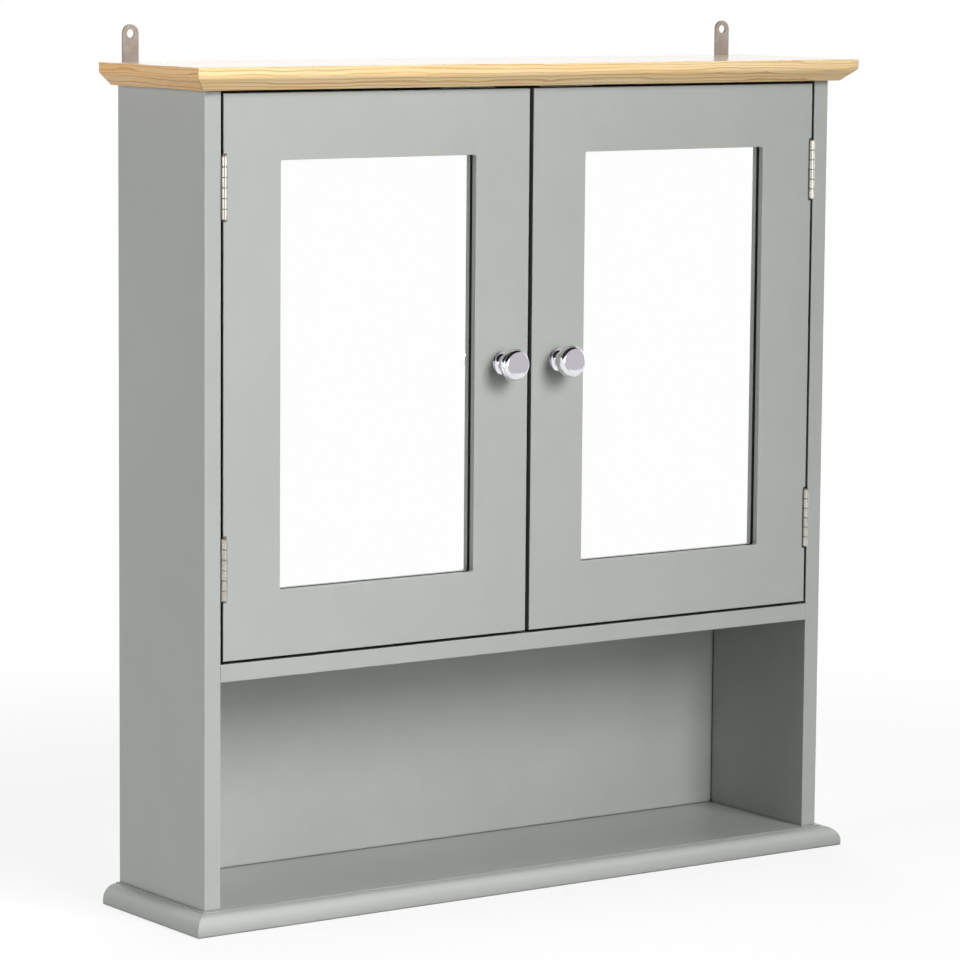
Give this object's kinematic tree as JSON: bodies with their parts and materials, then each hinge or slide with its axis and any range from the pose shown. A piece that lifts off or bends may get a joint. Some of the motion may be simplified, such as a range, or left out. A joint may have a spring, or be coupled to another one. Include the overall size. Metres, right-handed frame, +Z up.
{
  "type": "hanging wall cabinet",
  "caption": "Wall-hung cabinet with a moulded top and base, an open lower space, and a cupboard behind two inset mirror doors on butt hinges.",
  "frame": {"origin": "on the wall, midway between the two hanging holes", "axes": "+X to the right seen from the front, +Y into the wall, +Z up"},
  "size_m": [0.56, 0.1345, 0.6052],
  "materials": {
    "wood_effect_board": "pine-effect board, fine grain along its length, satin",
    "sage_paint": "fibreboard in satin sage-grey paint",
    "painted_hardboard": "thin hardboard in the same sage-grey paint",
    "brown_hardboard": "bare brown hardboard",
    "mirror_glass": "silvered glass",
    "knob_chrome": "polished chrome",
    "hinge_nickel": "nickel-plated steel, warm, polished",
    "plate_zinc": "zinc-plated steel, dull",
    "zinc_steel": "bright zinc-plated steel",
    "dowel_beech": "bare beech",
    "catch_plastic": "white moulded plastic",
    "magnet_ferrite": "dark grey ferrite"
  },
  "bodies": {
    "cabinet": {"adjustable_shelf": "sage_paint", "back_panel": "painted_hardboard", "back_panel_pins": "zinc_steel", "base_board": "sage_paint", "base_screws": "zinc_steel", "cam_bolts": "zinc_steel", "cam_locks": "zinc_steel", "catch_pole_plates": "zinc_steel", "catch_screws": "zinc_steel", "divider_shelf": "sage_paint", "fixed_leaf_screws": "hinge_nickel", "hanging_plate_screws": "plate_zinc", "left_catch_housing": "catch_plastic", "left_catch_magnet": "magnet_ferrite", "left_hanging_plate": "plate_zinc", "left_lower_fixed_leaf": "hinge_nickel", "left_lower_hinge_pin": "hinge_nickel", "left_side_panel": "sage_paint", "left_upper_fixed_leaf": "hinge_nickel", "left_upper_hinge_pin": "hinge_nickel", "right_catch_housing": "catch_plastic", "right_catch_magnet": "magnet_ferrite", "right_hanging_plate": "plate_zinc", "right_lower_fixed_leaf": "hinge_nickel", "right_lower_hinge_pin": "hinge_nickel", "right_side_panel": "sage_paint", "right_upper_fixed_leaf": "hinge_nickel", "right_upper_hinge_pin": "hinge_nickel", "shelf_pins": "zinc_steel", "top_board": "wood_effect_board", "wooden_dowels": "dowel_beech"},
    "left_door": {"left_bead_pins": "zinc_steel", "left_door_frame": "sage_paint", "left_door_leaf_screws": "hinge_nickel", "left_knob": "knob_chrome", "left_knob_screw": "zinc_steel", "left_lower_door_leaf": "hinge_nickel", "left_mirror": "mirror_glass", "left_mirror_backing": "brown_hardboard", "left_mirror_beads": "sage_paint", "left_strike_plate": "zinc_steel", "left_strike_screws": "zinc_steel", "left_upper_door_leaf": "hinge_nickel"},
    "right_door": {"right_bead_pins": "zinc_steel", "right_door_frame": "sage_paint", "right_door_leaf_screws": "hinge_nickel", "right_knob": "knob_chrome", "right_knob_screw": "zinc_steel", "right_lower_door_leaf": "hinge_nickel", "right_mirror": "mirror_glass", "right_mirror_backing": "brown_hardboard", "right_mirror_beads": "sage_paint", "right_strike_plate": "zinc_steel", "right_strike_screws": "zinc_steel", "right_upper_door_leaf": "hinge_nickel"}
  },
  "joints": [
    {"name": "left_door_hinge", "type": "hinge", "parent": "cabinet", "child": "left_door", "pos_m": [-0.2502, -0.1144, -0.22615], "axis": [0, 0, -1], "range_deg": [0, 180]},
    {"name": "right_door_hinge", "type": "hinge", "parent": "cabinet", "child": "right_door", "pos_m": [0.2502, -0.1144, -0.22615], "axis": [0, 0, 1], "range_deg": [0, 180]}
  ]
}
